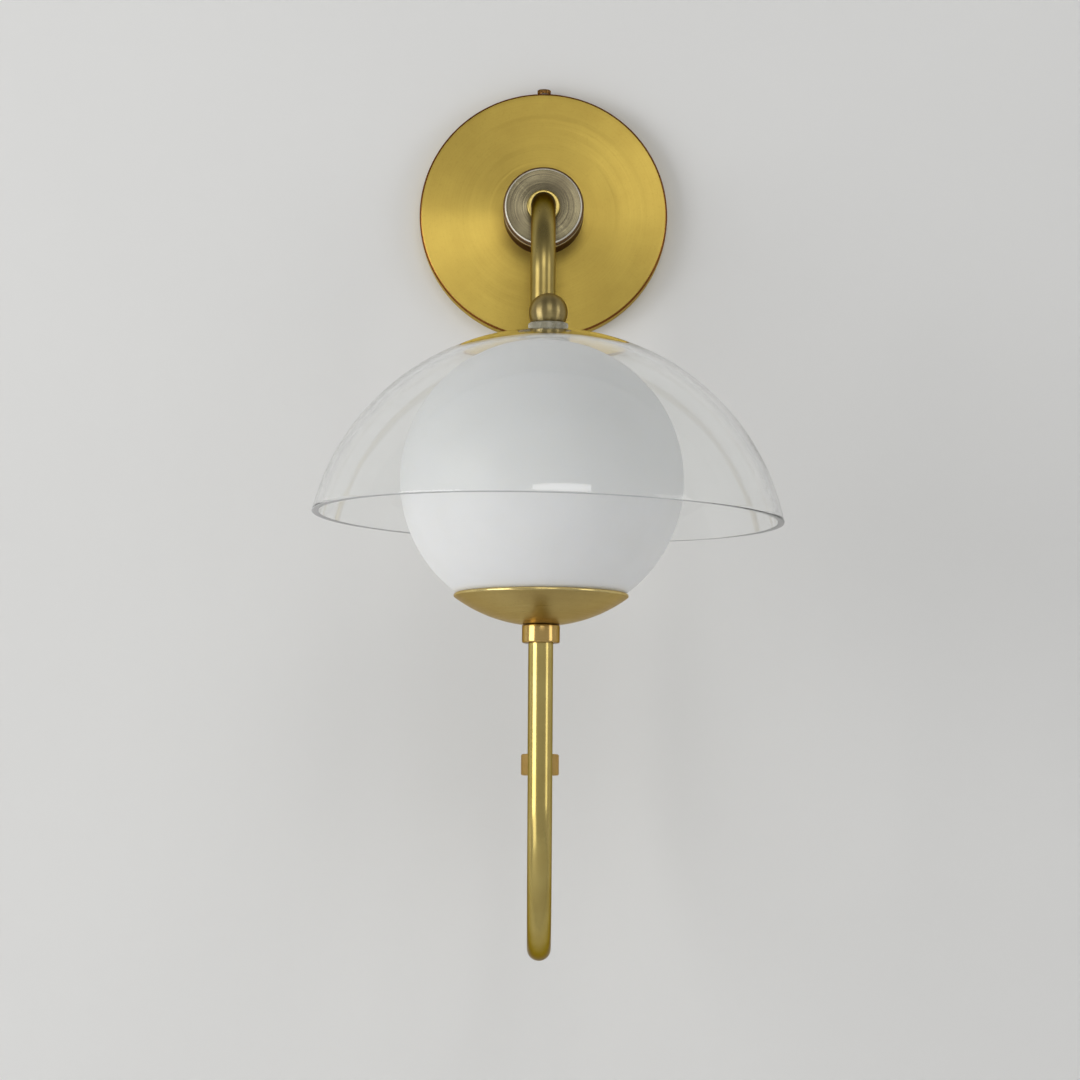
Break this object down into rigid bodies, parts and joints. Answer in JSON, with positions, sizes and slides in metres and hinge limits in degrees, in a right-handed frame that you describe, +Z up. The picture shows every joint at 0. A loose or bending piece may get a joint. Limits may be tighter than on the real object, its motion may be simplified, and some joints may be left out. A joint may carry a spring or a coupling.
{
  "type": "wall sconce",
  "caption": "Wall sconce with a round brass canopy, a J-shaped arm, a brass cup under an opal globe and a clear glass dome held by a ball finial.",
  "frame": {"origin": "centre of the canopy's back, on the wall, at the middle of the two wall screws", "axes": "+Z up, +X to the right of someone facing the wall, +Y into the wall; the lamp stands out along -Y"},
  "size_m": [0.2538, 0.3789, 0.5287],
  "materials": {
    "canopy_brass": "satin antique brass, light vertical and radial brushing",
    "polished_brass": "polished gold-coloured brass",
    "hub_nickel": "turned grey-brown antique nickel",
    "zinc_steel": "zinc-plated steel",
    "spring_steel": "bright spring steel",
    "opal_glass": "white opal glass, smooth and glossy",
    "clear_glass": "clear blown glass",
    "silicone": "translucent silicone",
    "ceramic": "glazed white ceramic",
    "lamp_core": "pale yellow light source",
    "block_plastic": "white moulded plastic",
    "earth_green": "green passivated steel",
    "insulation_brown": "brown lead insulation",
    "insulation_blue": "blue lead insulation",
    "insulation_green": "green lead insulation"
  },
  "bodies": {
    "fixture": {"crossbar": "zinc_steel", "ground_screw": "earth_green", "canopy": "canopy_brass", "hub": "hub_nickel", "hub_bushing": "polished_brass", "hub_nipple": "zinc_steel", "hub_earth_washer": "zinc_steel", "hub_nut": "zinc_steel", "rear_arm": "polished_brass", "coupling_ring": "polished_brass", "coupling_nipple": "zinc_steel", "front_arm": "polished_brass", "front_collar": "polished_brass", "cup_nipple": "zinc_steel", "cup_lock_washer": "zinc_steel", "cup_nut": "zinc_steel", "cup": "canopy_brass", "globe_gasket": "silicone", "lampholder_bracket": "zinc_steel", "globe_spring": "spring_steel", "lampholder": "ceramic", "lampholder_screws": "zinc_steel", "terminal_block": "block_plastic", "terminal_screws": "zinc_steel", "lead_live": "insulation_brown", "lead_neutral": "insulation_blue", "earth_lead": "insulation_green"},
    "globe": {"globe": "opal_glass", "top_bush": "polished_brass", "bush_washer": "silicone", "bush_nut": "polished_brass", "dome_pad": "silicone"},
    "dome": {"dome": "clear_glass"},
    "finial_washer": {"finial_washer": "silicone"},
    "finial": {"finial": "polished_brass"},
    "bulb": {"bulb_base": "ceramic", "bulb_pins": "spring_steel", "bulb_glass": "clear_glass", "bulb_core": "lamp_core"},
    "top_washer": {"thumbscrew_washer_top": "silicone"},
    "top_screw": {"thumbscrew_top": "polished_brass"},
    "bottom_washer": {"thumbscrew_washer_bottom": "silicone"},
    "bottom_screw": {"thumbscrew_bottom": "polished_brass"}
  },
  "joints": [
    {"name": "globe_lift", "type": "slide", "parent": "fixture", "child": "globe", "axis": [0, 0, 1], "range_m": [0, 0.09]},
    {"name": "dome_lift", "type": "slide", "parent": "globe", "child": "dome", "axis": [0, 0, 1], "range_m": [0, 0.11]},
    {"name": "finial_rise", "type": "slide", "parent": "dome", "child": "finial_washer", "axis": [0, 0, 1], "range_m": [0, 0.008]},
    {"name": "finial_turn", "type": "hinge", "parent": "finial_washer", "child": "finial", "pos_m": [0.0029, -0.252, -0.1], "axis": [0, 0, 1], "range_deg": [0, 2880]},
    {"name": "bulb_pull", "type": "slide", "parent": "fixture", "child": "bulb", "axis": [0, 0, 1], "range_m": [0, 0.016]},
    {"name": "top_screw_rise", "type": "slide", "parent": "fixture", "child": "top_washer", "axis": [0, 0, 1], "range_m": [0, 0.0042]},
    {"name": "top_screw_turn", "type": "hinge", "parent": "top_washer", "child": "top_screw", "pos_m": [0, -0.0065, 0.078], "axis": [0, 0, 1], "range_deg": [0, 2160]},
    {"name": "bottom_screw_drop", "type": "slide", "parent": "fixture", "child": "bottom_washer", "axis": [0, 0, -1], "range_m": [0, 0.0042]},
    {"name": "bottom_screw_turn", "type": "hinge", "parent": "bottom_washer", "child": "bottom_screw", "pos_m": [0, -0.0065, -0.078], "axis": [0, 0, -1], "range_deg": [0, 2160]}
  ],
  "couplings": [
    {"joint": "finial_rise", "follows": "finial_turn", "m_per_rad": 0.00015915},
    {"joint": "top_screw_rise", "follows": "top_screw_turn", "m_per_rad": 0.0001114},
    {"joint": "bottom_screw_drop", "follows": "bottom_screw_turn", "m_per_rad": 0.0001114}
  ]
}
